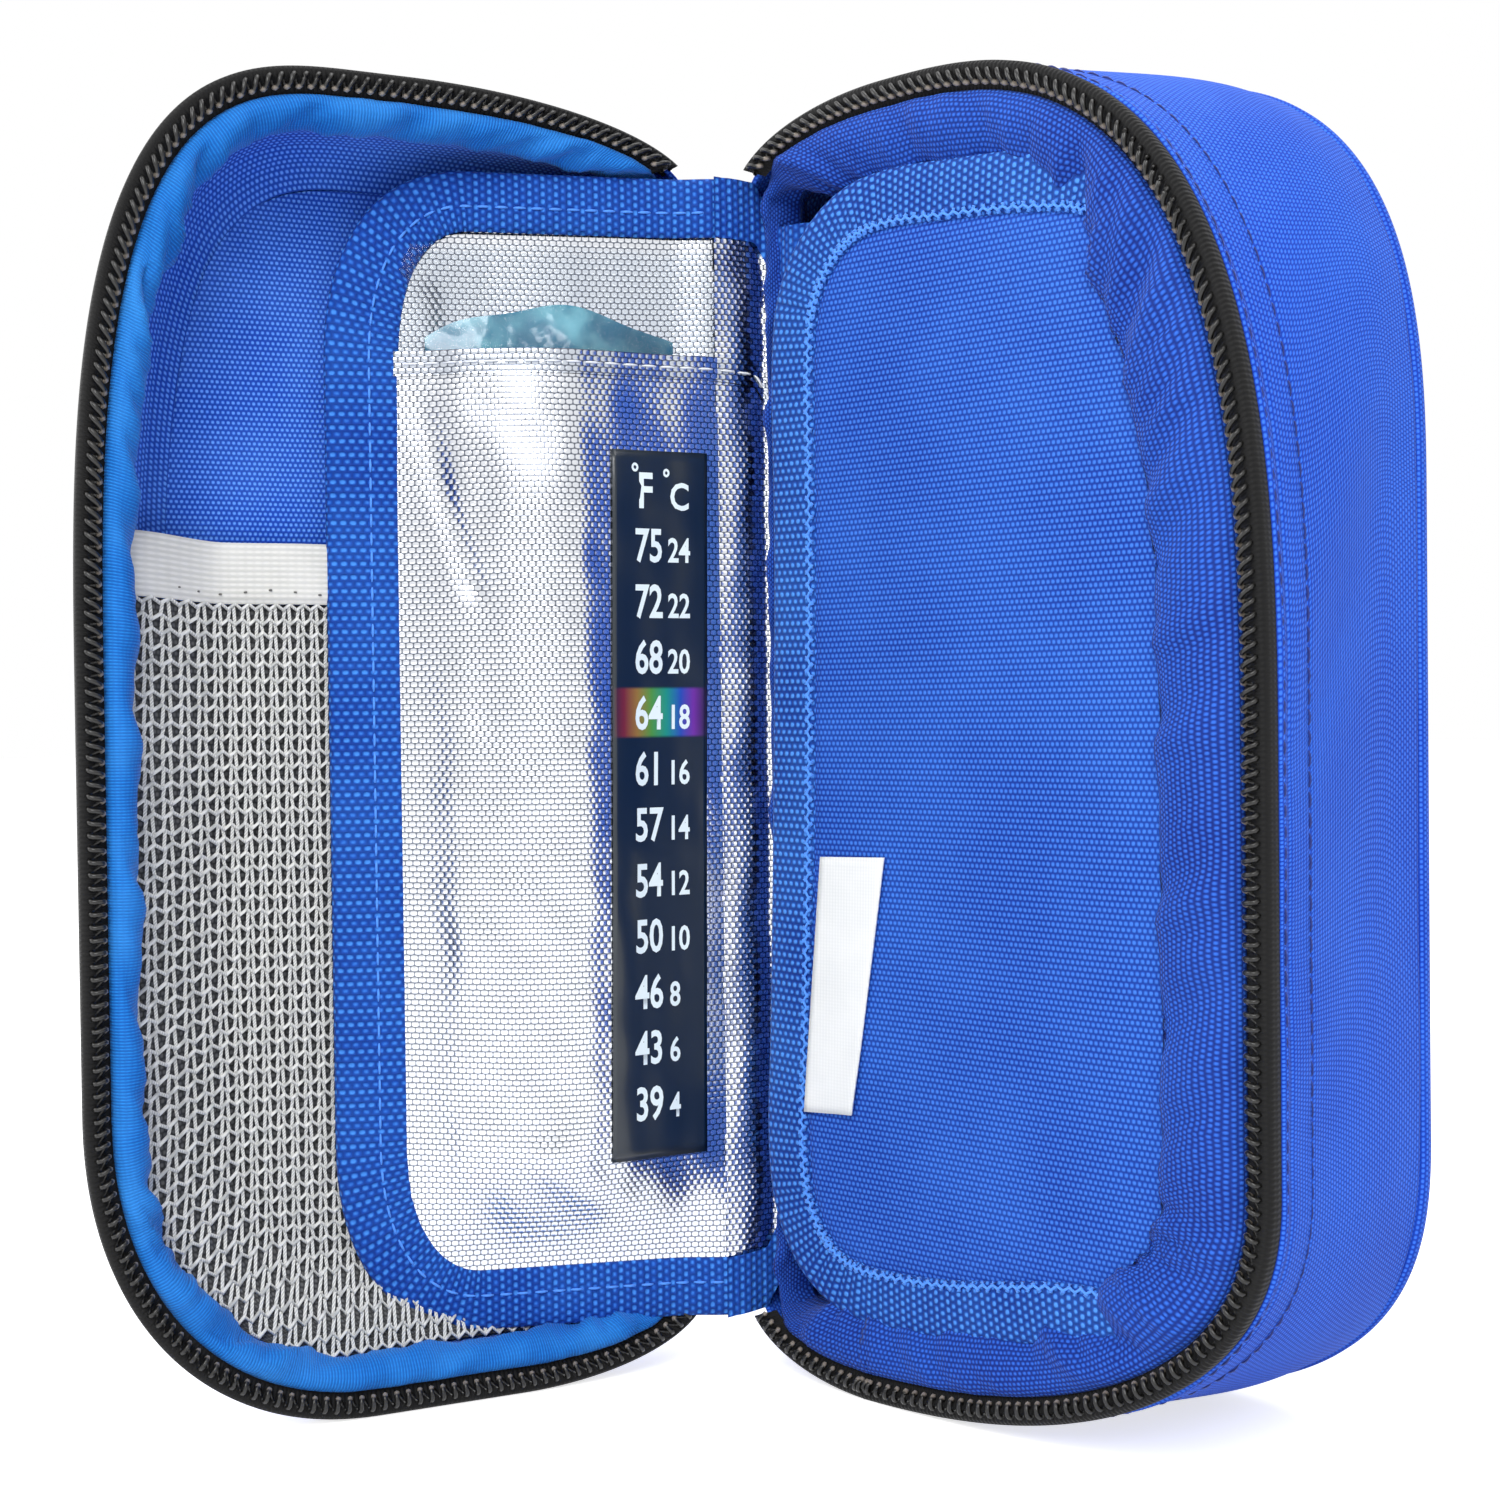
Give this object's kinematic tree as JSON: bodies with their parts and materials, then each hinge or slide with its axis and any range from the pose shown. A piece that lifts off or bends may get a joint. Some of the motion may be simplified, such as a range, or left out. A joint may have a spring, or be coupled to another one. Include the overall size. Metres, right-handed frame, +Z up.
{
  "type": "insulin cooling case",
  "caption": "Soft zip case standing open like a book, with a foil ice-pack page, a bound cover flap over the deep half and a mesh pocket in the shallow lid.",
  "frame": {"origin": "middle of the flat foot of the deep half, on the surface the case stands on", "axes": "+Z up along the spine's hinge line; +X along the deep half from the spine to its free edge; -Y out of the deep half's open side"},
  "size_m": [0.1652, 0.1524, 0.22],
  "materials": {
    "shell_fabric": "royal blue woven polyester",
    "lining_fabric": "azure woven lining",
    "webbing": "ribbed binding tape",
    "foam": "closed cell insulation foam",
    "zipper_tape": "black woven tape",
    "zipper_coil": "black nylon coil",
    "zipper_metal": "black enamelled zinc",
    "foil": "embossed foil film",
    "mesh": "open knitted mesh",
    "elastic": "white elastic tape",
    "label": "white woven ribbon",
    "gel": "teal gel",
    "film": "clear film",
    "thermometer": "dark strip thermometer"
  },
  "bodies": {
    "main_half": {"main_back_panel": "shell_fabric", "main_gusset": "shell_fabric", "main_foam_back": "foam", "main_foam_side": "foam", "main_lining": "lining_fabric", "main_zipper_tape": "zipper_tape", "main_zipper_teeth": "zipper_coil", "main_spine_strip": "shell_fabric", "pen_loop_band": "elastic", "zipper_stop": "zipper_metal", "flap_hinge_strip": "lining_fabric", "pouch_web": "foil"},
    "lid": {"lid_back_panel": "shell_fabric", "lid_gusset": "shell_fabric", "lid_foam_back": "foam", "lid_foam_side": "foam", "lid_lining": "lining_fabric", "lid_zipper_tape": "zipper_tape", "lid_zipper_teeth": "zipper_coil", "lid_spine_strip": "shell_fabric", "mesh_pocket_net": "mesh", "mesh_pocket_elastic": "elastic"},
    "cover_flap": {"flap_outer_cover": "shell_fabric", "flap_foam": "foam", "flap_foil_lining": "foil", "flap_binding": "webbing", "side_label": "label"},
    "ice_page": {"pouch_hinge_fold": "foil", "pouch_back_panel": "foil", "pouch_front_panel": "foil", "pouch_binding": "webbing", "pouch_front_hem": "foil", "thermometer_strip": "thermometer"},
    "ice_pack": {"ice_pack_gel": "gel", "ice_pack_seal": "film"},
    "slider": {"zipper_slider": "zipper_metal"},
    "pull_tab": {"zipper_pull_tab": "zipper_metal"}
  },
  "joints": [
    {"name": "lid_hinge", "type": "hinge", "parent": "main_half", "child": "lid", "pos_m": [-0.05, -0.02417, 0.11], "axis": [0, 0, -1], "range_deg": [-108, 52]},
    {"name": "page_turn", "type": "hinge", "parent": "lid", "child": "ice_page", "pos_m": [-0.05, -0.02417, 0.11], "axis": [0, 0, 1], "range_deg": [0, 105]},
    {"name": "ice_pack_slide", "type": "slide", "parent": "ice_page", "child": "ice_pack", "axis": [0, 0, 1], "range_m": [0, 0.016]},
    {"name": "flap_hinge", "type": "hinge", "parent": "main_half", "child": "cover_flap", "pos_m": [0.0435, -0.02028, 0.11], "axis": [0, 0, 1], "range_deg": [0, 100]},
    {"name": "slider_travel", "type": "slide", "parent": "main_half", "child": "slider", "axis": [0, 0, 1], "range_m": [0, 0.005]},
    {"name": "pull_tab_swing", "type": "hinge", "parent": "slider", "child": "pull_tab", "pos_m": [-0.05, -0.01688, 0.1998], "axis": [1, 0, 0], "range_deg": [0, 100]}
  ]
}
